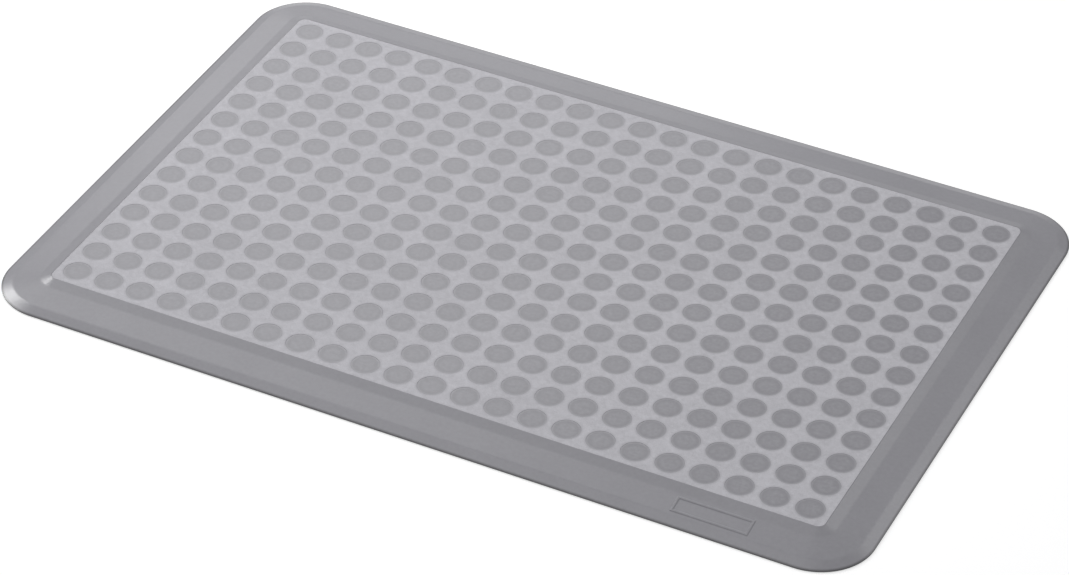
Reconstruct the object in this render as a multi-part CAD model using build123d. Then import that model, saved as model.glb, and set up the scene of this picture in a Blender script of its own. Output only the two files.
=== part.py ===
from build123d import *
import os

# Anti-fatigue mat: a moulded border with a sloping rim carries a laminated tread.
# Millimetres. +X is the length, +Y the depth, +Z up. The origin is on the floor
# under the middle of the mat. "Inset" is a distance in from the outside edge.

# Overall
overall_length = 914.0
overall_width = 610.0
thickness = 12.7

# Rim of the border, from the outside edge in to the tread
rim_width = 49.0
lip_height = 1.6
bevel_run = 11.5
bevel_top_height = 5.5
step_run = 11.0
step_drop = 3.15

# Tread: a textured sheet with round windows, which the studs of the sheet below fill
tread_corner_radius = 8.0
tread_sheet_thickness = 2.0
stud_columns = 23
stud_rows = 14
stud_edge_distance = 20.6  # from the tread's edge to the centres of the outer studs
stud_diameter = 27.4
stud_clearance = 0.25  # all round each stud, in its window
stud_recess = 0.2  # the stud's face is this far below the tread's face
stud_web_thickness = 1.2

# Cushioning inside the border
ledge_width = 8.0  # what the border reaches in under the tread
core_corner_radius = 15.0  # of the border's opening
gel_thickness = 2.5

# Underside
base_sheet_thickness = 1.5
base_sheet_inset = 14.0
grip_pad_columns = 4
grip_pad_rows = 3
grip_pad_diameter = 44.0
grip_pad_edge_distance = 90.0  # from the base sheet's edge to the outer pads' centres

# Fit of every sheet and pad in its recess, all round
fit_clearance = 0.2

# Bare name frame, a raised line on the front rim near the right-hand corner
name_frame_length = 78.0
name_frame_width = 20.0
name_frame_line = 2.6
name_frame_relief = 0.6
name_frame_root = 0.5  # how far the line reaches into the rim, to join it
name_frame_side_distance = 147.0  # from the mat's right-hand side to the frame's middle

# Worked out from the above
outer_radius = rim_width + tread_corner_radius
step_foot_height = thickness - step_drop
step_foot_inset = rim_width - step_run
tread_bottom = thickness - tread_sheet_thickness
web_bottom = tread_bottom - stud_web_thickness
gel_bottom = web_bottom - gel_thickness
core_inset = rim_width + ledge_width


def outline(inset, height, radius=None):
    """The mat's outline, drawn in by an inset. Its corners keep one centre unless a radius is given."""
    if radius is None:
        radius = outer_radius - inset
    shape = RectangleRounded(overall_length - 2 * inset, overall_width - 2 * inset, radius)
    return Pos(0, 0, height) * shape


def slab(inset, bottom, top, radius=None):
    """A flat layer of that outline between two heights."""
    return extrude(outline(inset, bottom, radius), top - bottom, dir=(0, 0, 1))


def core_slab(clearance, bottom, top):
    """A flat layer that fills the border's opening, but for a clearance all round."""
    return slab(core_inset + clearance, bottom, top, core_corner_radius - clearance)


def grid(columns, rows, edge_distance, inset):
    """Places in even rows, whose outer ones lie edge_distance inside an outline."""
    length = overall_length - 2 * (inset + edge_distance)
    width = overall_width - 2 * (inset + edge_distance)
    return GridLocations(length / (columns - 1), width / (rows - 1), columns, rows)


def stud_places():
    return grid(stud_columns, stud_rows, stud_edge_distance, rim_width)


def grip_pad_places():
    return grid(grip_pad_columns, grip_pad_rows, grip_pad_edge_distance, base_sheet_inset)


def circles(places, radius, height):
    """A circle at every place, at a height."""
    return [Pos(0, 0, height) * place * Circle(radius) for place in places]


def discs(places, radius, bottom, top):
    """A round disc at every place, between two heights."""
    return extrude(Sketch() + circles(places, radius, bottom), top - bottom, dir=(0, 0, 1))


def name_frame():
    """A raised rectangular line that lies on the slope of the front rim's land."""
    land_run = step_foot_inset - bevel_run
    land_rise = step_foot_height - bevel_top_height
    middle_inset = bevel_run + land_run / 2
    middle = (
        overall_length / 2 - name_frame_side_distance,
        -overall_width / 2 + middle_inset,
        bevel_top_height + land_rise / 2,
    )
    land = Plane(origin=middle, x_dir=(1, 0, 0), z_dir=(0, -land_rise, land_run))
    outside = Rectangle(name_frame_length, name_frame_width)
    inside = Rectangle(name_frame_length - 2 * name_frame_line, name_frame_width - 2 * name_frame_line)
    line = extrude(outside - inside, name_frame_root + name_frame_relief)
    return land * Pos(0, 0, -name_frame_root) * line


def border_frame():
    """The moulded border: lip, bevel, land and step outside, and its recesses inside."""
    lip = slab(0, 0, lip_height)
    slopes = loft(
        [
            outline(0, lip_height),
            outline(bevel_run, bevel_top_height),
            outline(step_foot_inset, step_foot_height),
            outline(rim_width, thickness),
        ],
        ruled=True,
    )
    tread_recess = slab(rim_width, web_bottom, thickness)
    core_opening = core_slab(0, 0, web_bottom)
    base_recess = slab(base_sheet_inset, 0, base_sheet_thickness)
    return lip + slopes + name_frame() - tread_recess - core_opening - base_recess


def tread_sheet():
    """The textured top sheet, with a round window for each stud."""
    sheet = outline(rim_width + fit_clearance, tread_bottom)
    windows = circles(stud_places(), stud_diameter / 2 + stud_clearance, tread_bottom)
    return extrude(sheet - windows, tread_sheet_thickness, dir=(0, 0, 1))


def stud_sheet():
    """The smooth sheet below, whose studs stand up through the tread's windows."""
    web = slab(rim_width + fit_clearance, web_bottom, tread_bottom)
    return web + discs(stud_places(), stud_diameter / 2, tread_bottom, thickness - stud_recess)


def gel_pad():
    """The gel layer right under the tread, inside the border's ledge."""
    return core_slab(fit_clearance, gel_bottom, web_bottom)


def foam_core():
    """The foam that carries the gel and fills the border's opening."""
    return core_slab(fit_clearance, base_sheet_thickness, gel_bottom)


def base_sheet():
    """The sheet that closes the underside, with a round window for each grip pad."""
    sheet = outline(base_sheet_inset + fit_clearance, 0)
    windows = circles(grip_pad_places(), grip_pad_diameter / 2 + fit_clearance, 0)
    return extrude(sheet - windows, base_sheet_thickness, dir=(0, 0, 1))


def grip_pads():
    """The round grip pads, flush with the underside and bonded up to the foam."""
    return discs(grip_pad_places(), grip_pad_diameter / 2, 0, base_sheet_thickness)


def write(node, shape):
    """Writes a node, as one solid or as a group of separate solids."""
    solids = shape.solids()
    part = solids[0] if len(solids) == 1 else Compound(children=list(solids))
    part.label = node
    export_step(part, f"parts/{node}.step")
    print(f"{node}: {len(solids)} solid(s), {sum(solid.volume for solid in solids) / 1000:.1f} cm3")


os.makedirs("parts", exist_ok=True)
write("border_frame", border_frame())
write("tread_sheet", tread_sheet())
write("stud_sheet", stud_sheet())
write("gel_pad", gel_pad())
write("foam_core", foam_core())
write("base_sheet", base_sheet())
write("grip_pads", grip_pads())
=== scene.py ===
import math

import bmesh
import bpy
from mathutils import Matrix, Vector


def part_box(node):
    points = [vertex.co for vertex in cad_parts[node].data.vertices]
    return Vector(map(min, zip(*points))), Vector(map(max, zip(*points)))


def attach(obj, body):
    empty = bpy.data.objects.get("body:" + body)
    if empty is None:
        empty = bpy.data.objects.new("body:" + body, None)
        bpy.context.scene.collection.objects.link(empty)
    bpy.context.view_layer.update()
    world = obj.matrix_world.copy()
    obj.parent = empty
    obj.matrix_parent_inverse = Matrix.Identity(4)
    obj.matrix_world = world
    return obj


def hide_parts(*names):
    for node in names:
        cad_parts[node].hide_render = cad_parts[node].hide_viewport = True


# Standing mat: a moulded border round a laminated, studded tread. Metres, Z up, origin on the floor.
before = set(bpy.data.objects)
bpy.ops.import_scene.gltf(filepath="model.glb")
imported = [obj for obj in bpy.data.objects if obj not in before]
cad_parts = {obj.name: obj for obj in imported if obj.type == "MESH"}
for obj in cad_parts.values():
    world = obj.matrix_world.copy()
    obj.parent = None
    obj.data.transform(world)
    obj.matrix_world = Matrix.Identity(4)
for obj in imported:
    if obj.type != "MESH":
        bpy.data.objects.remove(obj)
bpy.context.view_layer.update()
print("frame loaded")

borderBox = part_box("border_frame")
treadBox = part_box("tread_sheet")
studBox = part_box("stud_sheet")
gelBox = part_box("gel_pad")
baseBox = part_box("base_sheet")
fit = 0.0002  # the gap round each layer in its recess
rimWidth = treadBox[0].x - fit - borderBox[0].x
tiny = 1e-5  # what two places may differ by and still count as the same


# editing

def leaveEdit():
    if bpy.context.object and bpy.context.object.mode != "OBJECT":
        bpy.ops.object.mode_set(mode="OBJECT")
    bpy.ops.object.select_all(action="DESELECT")


def select(piece):
    leaveEdit()
    piece.select_set(True)
    bpy.context.view_layer.objects.active = piece


def startEdit(piece):
    select(piece)
    bpy.ops.object.mode_set(mode="EDIT")


def pick(piece, kind, wanted):
    # selects the faces, edges or corners of the edited piece that pass a test
    bpy.ops.mesh.select_mode(type=kind)
    bpy.ops.mesh.select_all(action="DESELECT")
    mesh = bmesh.from_edit_mesh(piece.data)
    parts = {"FACE": mesh.faces, "EDGE": mesh.edges, "VERT": mesh.verts}[kind]
    for part in parts:
        if wanted(part):
            part.select_set(True)
    mesh.select_flush_mode()
    bmesh.update_edit_mesh(piece.data)


def lowest(part):
    return min(corner.co.z for corner in part.verts)


def highest(part):
    return max(corner.co.z for corner in part.verts)


def atHeight(height):
    return lambda part: abs(lowest(part) - height) < tiny and abs(highest(part) - height) < tiny


def upright(edge):
    return highest(edge) - lowest(edge) > tiny


def apply(piece, kind, **settings):
    # adds a modifier and applies it straight away
    select(piece)
    modifier = piece.modifiers.new(kind.title(), kind)
    for name, value in settings.items():
        setattr(modifier, name, value)
    bpy.ops.object.modifier_apply(modifier=modifier.name)


def cut(piece, cutter, operation="DIFFERENCE"):
    apply(piece, "BOOLEAN", object=cutter, operation=operation, solver="EXACT")
    mesh = cutter.data
    bpy.data.objects.remove(cutter)
    bpy.data.meshes.remove(mesh)


def smooth(piece, angle=40):
    select(piece)
    bpy.ops.object.shade_smooth_by_angle(angle=math.radians(angle))
    apply(piece, "WEIGHTED_NORMAL", keep_sharp=True, weight=100)


def settle(name=None):
    # writes the place and size of the object in hand into its mesh
    bpy.ops.object.transform_apply(location=True, rotation=True, scale=True)
    piece = bpy.context.object
    if name:
        piece.name = name
        piece.data.name = name
    return piece


def layer(name, low, high, radius, segments=24):
    # a flat layer with rounded corners, between two opposite corners of its box
    leaveEdit()
    bpy.ops.mesh.primitive_cube_add(size=1, location=(low + high) / 2, scale=high - low)
    piece = settle(name)
    startEdit(piece)
    pick(piece, "EDGE", upright)
    bpy.ops.mesh.bevel(offset=radius, segments=segments, affect="EDGES")
    leaveEdit()
    return piece


def disc(name, radius, bottom, top, sides=32):
    leaveEdit()
    bpy.ops.mesh.primitive_cylinder_add(
        vertices=sides, radius=radius, depth=top - bottom, location=(0, 0, (top + bottom) / 2)
    )
    return settle(name)


def roundEdges(piece, height, width, segments=3):
    # rounds the ring of edges at a height
    startEdit(piece)
    pick(piece, "EDGE", atHeight(height))
    bpy.ops.mesh.bevel(offset=width, segments=segments, affect="EDGES")
    leaveEdit()


def repeat(piece, columns, rows, low, high):
    # copies a piece to every place of an even grid between two opposite corners
    columnStep = (high.x - low.x) / (columns - 1)
    rowStep = (high.y - low.y) / (rows - 1)
    select(piece)
    bpy.ops.transform.translate(value=(low.x, low.y, 0))
    settle()
    apply(piece, "ARRAY", count=columns, use_relative_offset=False, use_constant_offset=True,
          constant_offset_displace=(columnStep, 0, 0))
    apply(piece, "ARRAY", count=rows, use_relative_offset=False, use_constant_offset=True,
          constant_offset_displace=(0, rowStep, 0))


def inward(box, distance):
    low, high = box
    return low + Vector((distance, distance, 0)), high - Vector((distance, distance, 0))


def betweenHeights(box, bottom, top):
    low, high = box
    return Vector((low.x, low.y, bottom)), Vector((high.x, high.y, top))


# materials

class Wire:
    # one socket of a material, so that shader maths reads as an expression
    def __init__(self, tree, socket):
        self.tree = tree
        self.socket = socket

    def node(self, kind, settings=None, sockets=None, output=0):
        made = self.tree.nodes.new(kind)
        for name, value in (settings or {}).items():
            if name == "stops":
                self.setStops(made.color_ramp, value)
            else:
                setattr(made, name, value)
        for name, value in (sockets or {}).items():
            if isinstance(value, Wire):
                self.tree.links.new(value.socket, made.inputs[name])
            else:
                made.inputs[name].default_value = value
        return Wire(self.tree, made.outputs[output])

    @staticmethod
    def setStops(ramp, stops):
        while len(ramp.elements) < len(stops):
            ramp.elements.new(0.5)
        for element, (place, value) in zip(ramp.elements, stops):
            element.position = place
            element.color = (value, value, value, 1)

    def math(self, operation, first, second):
        return self.node("ShaderNodeMath", {"operation": operation}, {0: first, 1: second})

    def __add__(self, other):
        return self.math("ADD", self, other)

    def __radd__(self, other):
        return self.math("ADD", other, self)

    def __sub__(self, other):
        return self.math("SUBTRACT", self, other)

    def __rsub__(self, other):
        return self.math("SUBTRACT", other, self)

    def __mul__(self, other):
        return self.math("MULTIPLY", self, other)

    def __rmul__(self, other):
        return self.math("MULTIPLY", other, self)

    def noise(self, size, detail=2.0, roughness=0.5):
        # soft noise about 0.5, whose lumps are about this size in metres
        sockets = {"Vector": self, "Scale": 1 / size, "Detail": detail, "Roughness": roughness}
        return self.node("ShaderNodeTexNoise", {}, sockets)

    def cells(self, size, settings=None, **sockets):
        # distance from the middles of scattered cells of about this size
        return self.node("ShaderNodeTexVoronoi", settings, {"Vector": self, "Scale": 1 / size, **sockets})

    def ramp(self, stops):
        return self.node("ShaderNodeValToRGB", {"stops": stops}, {"Fac": self})

    def between(self, low, high):
        # 0 at or before one value, 1 at or past the other, and even between them
        return self.node("ShaderNodeMapRange", {}, {"Value": self, "From Min": low, "From Max": high})

    def height(self):
        return self.node("ShaderNodeSeparateXYZ", {}, {"Vector": self}, output=2)

    def vector(self, operation, *others, output=0):
        sockets = dict(enumerate((self, *others)))
        return self.node("ShaderNodeVectorMath", {"operation": operation}, sockets, output)

    def mixed(self, first, second):
        # a colour between two, by this value
        first = first if isinstance(first, Wire) else (*first, 1)
        second = second if isinstance(second, Wire) else (*second, 1)
        return self.node("ShaderNodeMix", {"data_type": "RGBA"}, {"Factor": self, 6: first, 7: second}, 2)

    def bumped(self, depth):
        return self.node("ShaderNodeBump", {}, {"Height": self, "Distance": depth})


def newMaterial(name):
    # a bare material: its shader, and the object's own coordinates to draw patterns on
    material = bpy.data.materials.new(name)
    material.use_nodes = True
    tree = material.node_tree
    shader = next(node for node in tree.nodes if node.type == "BSDF_PRINCIPLED")
    coordinates = tree.nodes.new("ShaderNodeTexCoord")
    return material, shader, Wire(tree, coordinates.outputs["Object"])


def feed(shader, wires):
    for name, wire in wires.items():
        wire.tree.links.new(wire.socket, shader.inputs[name])


def setSockets(shader, values):
    for name, value in values.items():
        shader.inputs[name].default_value = value


def coat(piece, material):
    piece.data.materials.clear()
    piece.data.materials.append(material)


# smooth moulded polyurethane, for the border and the studs

satinGrey = {
    "dark": (0.230, 0.227, 0.244),
    "pale": (0.398, 0.393, 0.422),
    "clouds": 0.18,  # how much of the tone is broad and cloudy
    "roughness": (0.27, 0.29),
    "specular": 0.5,
    "mottle": 0.004,
    "mouldGrain": 0.0016,
    "grainDepth": 0.000005,
}


def satinTone(place, mottled):
    # faint cloudy tone, with a share of finer mottle
    mottle = place.noise(satinGrey["mottle"], detail=3, roughness=0.6)
    clouds = place.noise(0.06, detail=2)
    even = 0.5 * (1 - mottled - satinGrey["clouds"])
    tone = mottle * mottled + clouds * satinGrey["clouds"] + even
    return tone.mixed(satinGrey["dark"], satinGrey["pale"])


def satinMaterial(name, tone):
    # a soft sheen and a very fine mould grain
    material, shader, place = newMaterial(name)
    low, high = satinGrey["roughness"]
    feed(shader, {
        "Base Color": tone(place),
        "Roughness": low + place.noise(0.02, detail=4) * (high - low),
        "Normal": place.noise(satinGrey["mouldGrain"], detail=2).bumped(satinGrey["grainDepth"]),
    })
    setSockets(shader, {"Specular IOR Level": satinGrey["specular"]})
    return material


# border

border = {
    "cornerRadius": 0.057,
    "lipHeight": 0.0016,
    "bevelRun": 0.0115,
    "bevelTop": 0.0055,
    "stepRun": 0.011,
    "stepFoot": 0.00955,
    "lipRounding": 0.0003,
    "soleRounding": 0.0012,
    "bevelRounding": 0.0014,
    "footRounding": 0.0014,
    "ridgeRounding": 0.0006,
    "openingRadius": 0.015,
    "mottled": 0.3,
    # the lip's dark line is painted shade, in place of the contact shadow along the floor
    "lipShade": (0.105, 0.103, 0.109),
    "lipShadeHeight": (0.0017, 0.0025),
}
nameFrame = {
    "length": 0.078,
    "width": 0.020,
    "line": 0.0034,
    "relief": 0.0007,
    "shoulder": 0.00005,  # the upright foot of the line, below its slopes
    "slopeRun": 0.001,
    "root": 0.0005,
    "fromSide": 0.147,
}


def rimTone(place):
    # a dark line round the lip, painted shade where the contact shadow falls by the floor
    low, high = border["lipShadeHeight"]
    plain = place.height().between(low, high)
    return plain.mixed(border["lipShade"], satinTone(place, border["mottled"]))


def borderShell():
    # lip, bevel, land and step, raised ring by ring from a flat slab
    piece = layer(
        "borderFrame", *betweenHeights(borderBox, 0, border["lipHeight"]), border["cornerRadius"], 32
    )
    startEdit(piece)
    pick(piece, "FACE", atHeight(border["lipHeight"]))
    bpy.ops.mesh.inset(thickness=border["bevelRun"], depth=border["bevelTop"] - border["lipHeight"])
    landRun = rimWidth - border["bevelRun"] - border["stepRun"]
    bpy.ops.mesh.inset(thickness=landRun, depth=border["stepFoot"] - border["bevelTop"])
    bpy.ops.mesh.inset(thickness=border["stepRun"], depth=borderBox[1].z - border["stepFoot"])
    leaveEdit()
    roundEdges(piece, 0, border["soleRounding"], 4)
    roundEdges(piece, border["lipHeight"], border["lipRounding"], 3)
    roundEdges(piece, border["bevelTop"], border["bevelRounding"], 6)
    roundEdges(piece, border["stepFoot"], border["footRounding"], 6)
    roundEdges(piece, borderBox[1].z, border["ridgeRounding"], 4)
    return piece


def raisedFrame():
    # the bare name frame: a raised rectangular line that lies on the slope of the front land
    landRun = rimWidth - border["bevelRun"] - border["stepRun"]
    slope = math.atan2(border["stepFoot"] - border["bevelTop"], landRun)
    middle = Vector((
        borderBox[1].x - nameFrame["fromSide"],
        borderBox[0].y + border["bevelRun"] + landRun / 2,
        (border["stepFoot"] + border["bevelTop"]) / 2,
    ))
    up = Vector((0, -math.sin(slope), math.cos(slope)))
    leaveEdit()
    bpy.ops.mesh.primitive_plane_add(
        size=1, location=middle - up * nameFrame["root"], rotation=(slope, 0, 0)
    )
    bpy.context.object.scale = (nameFrame["length"], nameFrame["width"], 1)
    piece = settle("nameFrame")
    startEdit(piece)
    bpy.ops.mesh.select_all(action="SELECT")
    bpy.ops.mesh.inset(thickness=nameFrame["line"])
    bpy.ops.mesh.delete(type="FACE")
    bpy.ops.mesh.select_all(action="SELECT")
    rise = up * (nameFrame["root"] + nameFrame["shoulder"])
    bpy.ops.mesh.extrude_region_move(TRANSFORM_OT_translate={"value": rise})
    # the top of the line is drawn up and narrowed, so that both its sides slope
    top = up.dot(middle) + nameFrame["shoulder"]
    pick(piece, "FACE", lambda face: all(abs(up.dot(corner.co) - top) < tiny for corner in face.verts))
    bpy.ops.mesh.inset(
        thickness=nameFrame["slopeRun"], depth=nameFrame["relief"] - nameFrame["shoulder"]
    )
    bpy.ops.mesh.select_all(action="SELECT")
    bpy.ops.mesh.normals_make_consistent(inside=False)
    leaveEdit()
    return piece


def makeBorder():
    piece = borderShell()
    cut(piece, raisedFrame(), "UNION")
    above = borderBox[1].z + 0.001
    below = borderBox[0].z - 0.001
    recess = betweenHeights(inward(borderBox, rimWidth), studBox[0].z, above)
    cut(piece, layer("recess", *recess, border["cornerRadius"] - rimWidth))
    opening = betweenHeights(inward(gelBox, -fit), below, above)
    cut(piece, layer("opening", *opening, border["openingRadius"]))
    underside = betweenHeights(inward(baseBox, -fit), below, baseBox[1].z)
    baseInset = baseBox[0].x - fit - borderBox[0].x
    cut(piece, layer("underside", *underside, border["cornerRadius"] - baseInset))
    smooth(piece, 28)
    coat(piece, satinMaterial("rimSatin", rimTone))
    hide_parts("border_frame")
    return piece


borderFrame = makeBorder()
print("border made")


# tread and studs

tread = {
    "columns": 23,
    "rows": 14,
    "edgeDistance": 0.0206,  # from the tread's edge to the middles of the outer studs
    "windowRadius": 0.01389,
    "windowRounding": 0.00015,
    "edgeRounding": 0.0003,
}
studs = {
    "radius": 0.01386,
    "rounding": 0.00015,
    "mottled": 0.75,
    # the darker ring is painted shade near the joint round each stud, and the pale edge a painted
    # highlight on its rim
    "ring": 0.5,
    "ringShadeTone": (0.272, 0.268, 0.288),
    "edgeHighlight": 0.75,
    "edgeHighlightTone": (0.385, 0.380, 0.404),
}
grainedGrey = {
    "dark": (0.345, 0.341, 0.361),
    "pale": (0.725, 0.717, 0.759),
    "edgeTone": (0.425, 0.420, 0.446),
    "edge": 0.75,
    "roughness": 0.82,
    "specular": 0.3,
    "pebble": 0.0011,
    "pebbleDepth": 0.00012,
}
studLow, studHigh = inward(inward(treadBox, -fit), tread["edgeDistance"])
treadRadius = border["cornerRadius"] - rimWidth - fit


def fromStud(place):
    # how far a place lies from the middle of the nearest stud
    halfColumn = (studHigh.x - studLow.x) / (tread["columns"] - 1) / 2
    halfRow = (studHigh.y - studLow.y) / (tread["rows"] - 1) / 2
    reach = Vector((halfColumn, halfRow, 1))
    nearest = place.vector("SUBTRACT", studLow).vector("WRAP", reach, -reach)
    return nearest.vector("MULTIPLY", (1, 1, 0)).vector("LENGTH", output=1)


def studTone(place):
    # each stud is a little darker in a ring near its edge, painted shade as from the joint round it, and
    # paler at its very edge, a painted highlight
    away = fromStud(place)
    ring = away.between(0.0075, 0.0105) * away.between(0.0132, 0.0116)
    edgeHighlight = away.between(0.0118, 0.0139)
    tone = satinTone(place, studs["mottled"])
    ringed = (ring * studs["ring"]).mixed(tone, studs["ringShadeTone"])
    return (edgeHighlight * studs["edgeHighlight"]).mixed(ringed, studs["edgeHighlightTone"])


def grainedMaterial():
    # matte polyurethane with a fine pebbled grain, paler on the tops of the pebbles,
    # that fades out at the edges of the windows
    material, shader, place = newMaterial("grainedGrey")
    hollows = place.cells(grainedGrey["pebble"], {"feature": "SMOOTH_F1"}, Smoothness=0.6)
    mottle = place.noise(0.005, detail=4, roughness=0.65)
    clouds = place.noise(0.06, detail=2)
    tone = mottle * 0.6 + clouds * 0.2 + (1 - hollows) * 0.2
    ground = tone.mixed(grainedGrey["dark"], grainedGrey["pale"])
    fade = fromStud(place).between(0.0165, 0.0136)
    feed(shader, {
        "Base Color": (fade * grainedGrey["edge"]).mixed(ground, grainedGrey["edgeTone"]),
        "Normal": (1 - hollows).bumped(grainedGrey["pebbleDepth"]),
    })
    setSockets(shader, {
        "Roughness": grainedGrey["roughness"],
        "Specular IOR Level": grainedGrey["specular"],
    })
    return material


def windowPeg():
    # a round peg that flares out through the tread's face, so that each window has a softened edge
    soft = tread["windowRounding"]
    shoulder = treadBox[1].z - soft
    piece = disc("windowPeg", tread["windowRadius"], treadBox[0].z - 0.001, shoulder)
    startEdit(piece)
    pick(piece, "FACE", atHeight(shoulder))
    growth = 1 + 2 * soft / tread["windowRadius"]
    bpy.ops.mesh.extrude_region_move(TRANSFORM_OT_translate={"value": (0, 0, 2 * soft)})
    bpy.ops.transform.resize(value=(growth, growth, 1))
    leaveEdit()
    return piece


def makeTread():
    piece = layer("treadSheet", *treadBox, treadRadius)
    roundEdges(piece, treadBox[1].z, tread["edgeRounding"], 4)
    pegs = windowPeg()
    repeat(pegs, tread["columns"], tread["rows"], studLow, studHigh)
    cut(piece, pegs)
    smooth(piece)
    coat(piece, grainedMaterial())
    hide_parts("tread_sheet")
    return piece


def makeStuds():
    web = betweenHeights(studBox, studBox[0].z, treadBox[0].z)
    piece = layer("studSheet", *web, treadRadius)
    stud = disc("stud", studs["radius"], treadBox[0].z - 0.0003, studBox[1].z)
    roundEdges(stud, studBox[1].z, studs["rounding"], 1)
    repeat(stud, tread["columns"], tread["rows"], studLow, studHigh)
    cut(piece, stud, "UNION")
    smooth(piece)
    coat(piece, satinMaterial("studSatin", studTone))
    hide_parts("stud_sheet")
    return piece


treadSheet = makeTread()
studSheet = makeStuds()
print("tread and studs made")


# soft layers inside

gel = {
    "rounding": 0.001,
    "fill": 0.9,
    "dark": (0.22, 0.34, 0.42),
    "pale": (0.30, 0.42, 0.50),
    "roughness": 0.2,
    "depth": 0.003,  # how far light goes in
}
foam = {
    "rounding": 0.0012,
    "fill": 1.0,
    "dark": (0.06, 0.06, 0.065),
    "pale": (0.14, 0.14, 0.145),
    "roughness": 0.9,
    "cell": 0.0012,
}


def gelMaterial():
    # soft cast gel, dull blue, slightly cloudy
    material, shader, place = newMaterial("castGel")
    clouds = place.noise(0.03, detail=3)
    feed(shader, {
        "Base Color": clouds.mixed(gel["dark"], gel["pale"]),
        "Roughness": gel["roughness"] + clouds * 0.15,
    })
    setSockets(shader, {"Subsurface Weight": 0.3, "Subsurface Scale": gel["depth"]})
    return material


def foamMaterial():
    # closed-cell foam: round cells cut open at the surface
    material, shader, place = newMaterial("coreFoam")
    cells = place.cells(foam["cell"])
    feed(shader, {
        "Base Color": cells.mixed(foam["dark"], foam["pale"]),
        "Normal": cells.bumped(0.0003),
    })
    setSockets(shader, {"Roughness": foam["roughness"]})
    return material


def makePad(name, node, values, material):
    # a soft layer with rounded edges, top and bottom
    low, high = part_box(node)
    piece = layer(name, low, high, border["openingRadius"] - fit)
    roundEdges(piece, high.z, values["rounding"], 5)
    roundEdges(piece, low.z, values["rounding"], 5)
    smooth(piece)
    coat(piece, material)
    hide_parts(node)
    return piece


gelPad = makePad("gelPad", "gel_pad", gel, gelMaterial())
foamCore = makePad("foamCore", "foam_core", foam, foamMaterial())
print("inner layers made")


# underside

base = {
    "rounding": 0.0004,
    "dark": (0.045, 0.045, 0.047),
    "pale": (0.065, 0.065, 0.068),
    "roughness": 0.7,
    "weave": 0.0022,
    "weaveDepth": 0.0002,
}
grip = {
    "columns": 4,
    "rows": 3,
    "radius": 0.022,
    "edgeDistance": 0.090,  # from the base sheet's edge to the middles of the outer pads
    "ribs": 3,
    "ribWidth": 0.0034,
    "grooveWidth": 0.0016,
    "grooveDepth": 0.0006,
    "grooveSlope": 0.0002,
    "plain": (0.15, 0.15, 0.16),
    "dusty": (0.2, 0.2, 0.205),
    "roughness": 0.45,
}
gripLow, gripHigh = inward(inward(baseBox, -fit), grip["edgeDistance"])


def baseMaterial():
    # near-black rubber with a cloth-like non-slip grain
    material, shader, place = newMaterial("baseRubber")
    weave = place.cells(base["weave"], {"feature": "F1", "distance": "CHEBYCHEV"}, Randomness=0.25)
    clouds = place.noise(0.05, detail=3)
    feed(shader, {
        "Base Color": clouds.mixed(base["dark"], base["pale"]),
        "Roughness": base["roughness"] + clouds * 0.15,
        "Normal": (1 - weave).bumped(base["weaveDepth"]),
    })
    return material


def gripMaterial():
    # soft tacky rubber, with dust in its pores
    material, shader, place = newMaterial("gripRubber")
    dust = place.noise(0.004, detail=5, roughness=0.7).ramp([(0.45, 0.0), (0.75, 1.0)])
    feed(shader, {
        "Base Color": dust.mixed(grip["plain"], grip["dusty"]),
        "Roughness": grip["roughness"] + dust * 0.2,
    })
    return material


def makeBase():
    baseInset = baseBox[0].x - borderBox[0].x
    piece = layer("baseSheet", *baseBox, border["cornerRadius"] - baseInset)
    roundEdges(piece, baseBox[0].z, base["rounding"], 2)
    window = disc("window", grip["radius"] + fit, baseBox[0].z - 0.001, baseBox[1].z + 0.001, 64)
    repeat(window, grip["columns"], grip["rows"], gripLow, gripHigh)
    cut(piece, window)
    smooth(piece)
    coat(piece, baseMaterial())
    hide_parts("base_sheet")
    return piece


def makeGripPads():
    # each pad has round ribs on its underside, with grooves between them
    low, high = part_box("grip_pads")
    piece = disc("gripPads", grip["radius"], low.z, high.z, 64)
    startEdit(piece)
    pick(piece, "FACE", atHeight(low.z))
    for rib in range(grip["ribs"]):
        bpy.ops.mesh.inset(thickness=grip["ribWidth"])
        bpy.ops.mesh.inset(thickness=grip["grooveSlope"], depth=-grip["grooveDepth"])
        bpy.ops.mesh.inset(thickness=grip["grooveWidth"])
        bpy.ops.mesh.inset(thickness=grip["grooveSlope"], depth=grip["grooveDepth"])
    leaveEdit()
    repeat(piece, grip["columns"], grip["rows"], gripLow, gripHigh)
    smooth(piece, 30)
    coat(piece, gripMaterial())
    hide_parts("grip_pads")
    return piece


baseSheet = makeBase()
gripPads = makeGripPads()
print("underside made")

for piece in (borderFrame, treadSheet, studSheet, gelPad, foamCore, baseSheet, gripPads):
    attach(piece, "root")


# floor, light and camera

studio = {
    "floorSize": 40.0,
    "floorTone": 0.55,
    "floorLift": 0.6,
    "worldTone": (0.98, 0.98, 1.0),
    "worldStrength": 0.36,
}
softboxes = {  # place, the point it faces, width and height, power
    "keyLight": ((-2.14, 0.48, 1.51), (0, 0, 0), (0.26, 1.2), 21.0),
    "backLight": ((-1.26, 1.94, 1.18), (0, 0, 0), (1.6, 0.9), 7.2),
    "upperBackLight": ((-1.18, 1.18, 1.99), (0, 0, 0), (1.4, 1.2), 7.5),
    "rightLight": ((1.05, 1.62, 1.74), (0, 0, 0), (0.9, 0.8), 4.8),
    "overheadLight": ((-0.25, -0.28, 1.33), (-0.25, 0, 0), (1.2, 0.6), 2.6),
    "frontLight": ((1.41, -1.41, 1.67), (0, 0, 0), (1.6, 1.4), 4.9),
}
camera = {
    "azimuth": 25.35,
    "elevation": 37.37,
    "roll": 1.27,
    "distance": 3.949,
    "lens": 136.9,
    "aim": (0.0191, -0.0541, 0.0127),
}


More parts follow.
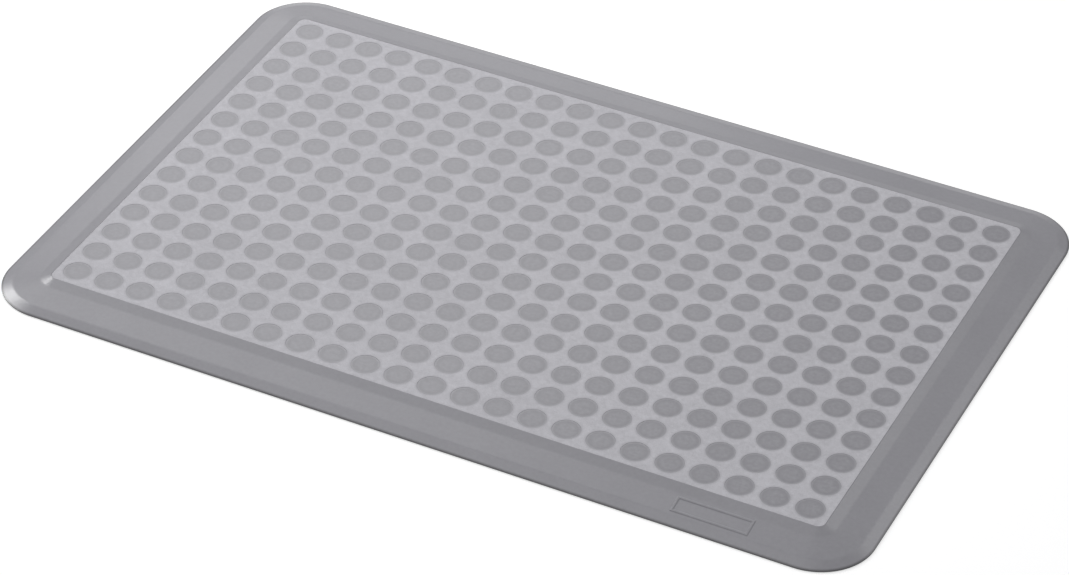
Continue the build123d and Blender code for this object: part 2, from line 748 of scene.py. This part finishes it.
def whiteToCamera(tree):
    # 1 for the camera and for what shows in or through a glossy surface, 0 for lighting
    path = tree.nodes.new("ShaderNodeLightPath")
    seen = Wire(tree, path.outputs["Is Camera Ray"])
    for other in ("Is Glossy Ray", "Is Transmission Ray"):
        seen = seen.math("MAXIMUM", seen, Wire(tree, path.outputs[other]))
    return seen


def makeFloor():
    # a pale floor that looks white to the camera where no shadow falls
    leaveEdit()
    bpy.ops.mesh.primitive_plane_add(size=studio["floorSize"], location=(0, 0, -0.0001))
    floor = settle("floor")
    material, shader, place = newMaterial("paleFloor")
    tone = studio["floorTone"]
    setSockets(shader, {
        "Base Color": (tone, tone, tone, 1),
        "Roughness": 1.0,
        "Specular IOR Level": 0.0,
        "Emission Strength": 1.0,
    })
    feed(shader, {"Emission Color": whiteToCamera(material.node_tree) * studio["floorLift"]})
    coat(floor, material)


def makeWorld():
    world = bpy.data.worlds.new("studioWorld")
    bpy.context.scene.world = world
    world.use_nodes = True
    background = next(node for node in world.node_tree.nodes if node.type == "BACKGROUND")
    setSockets(background, {"Color": (*studio["worldTone"], 1), "Strength": studio["worldStrength"]})


def makeSoftbox(name, place, aim, size, power):
    light = bpy.data.lights.new(name, "AREA")
    light.shape = "RECTANGLE"
    light.size, light.size_y = size
    light.energy = power
    lamp = bpy.data.objects.new(name, light)
    bpy.context.scene.collection.objects.link(lamp)
    lamp.location = place
    lamp.rotation_euler = (Vector(place) - Vector(aim)).to_track_quat("Z", "Y").to_euler()


def makeCamera():
    turn = math.radians(camera["azimuth"])
    rise = math.radians(camera["elevation"])
    back = Vector((math.sin(turn) * math.cos(rise), -math.cos(turn) * math.cos(rise), math.sin(rise)))
    data = bpy.data.cameras.new("camera")
    data.lens = camera["lens"]
    eye = bpy.data.objects.new("camera", data)
    bpy.context.scene.collection.objects.link(eye)
    facing = back.to_track_quat("Z", "Y").to_matrix()
    rolled = facing @ Matrix.Rotation(math.radians(camera["roll"]), 3, "Z")
    eye.rotation_euler = rolled.to_euler()
    eye.location = Vector(camera["aim"]) + back * camera["distance"]
    bpy.context.scene.camera = eye


makeFloor()
makeWorld()
for name, values in softboxes.items():
    makeSoftbox(name, *values)
makeCamera()
bpy.context.scene.view_settings.view_transform = "Standard"
print("studio ready")
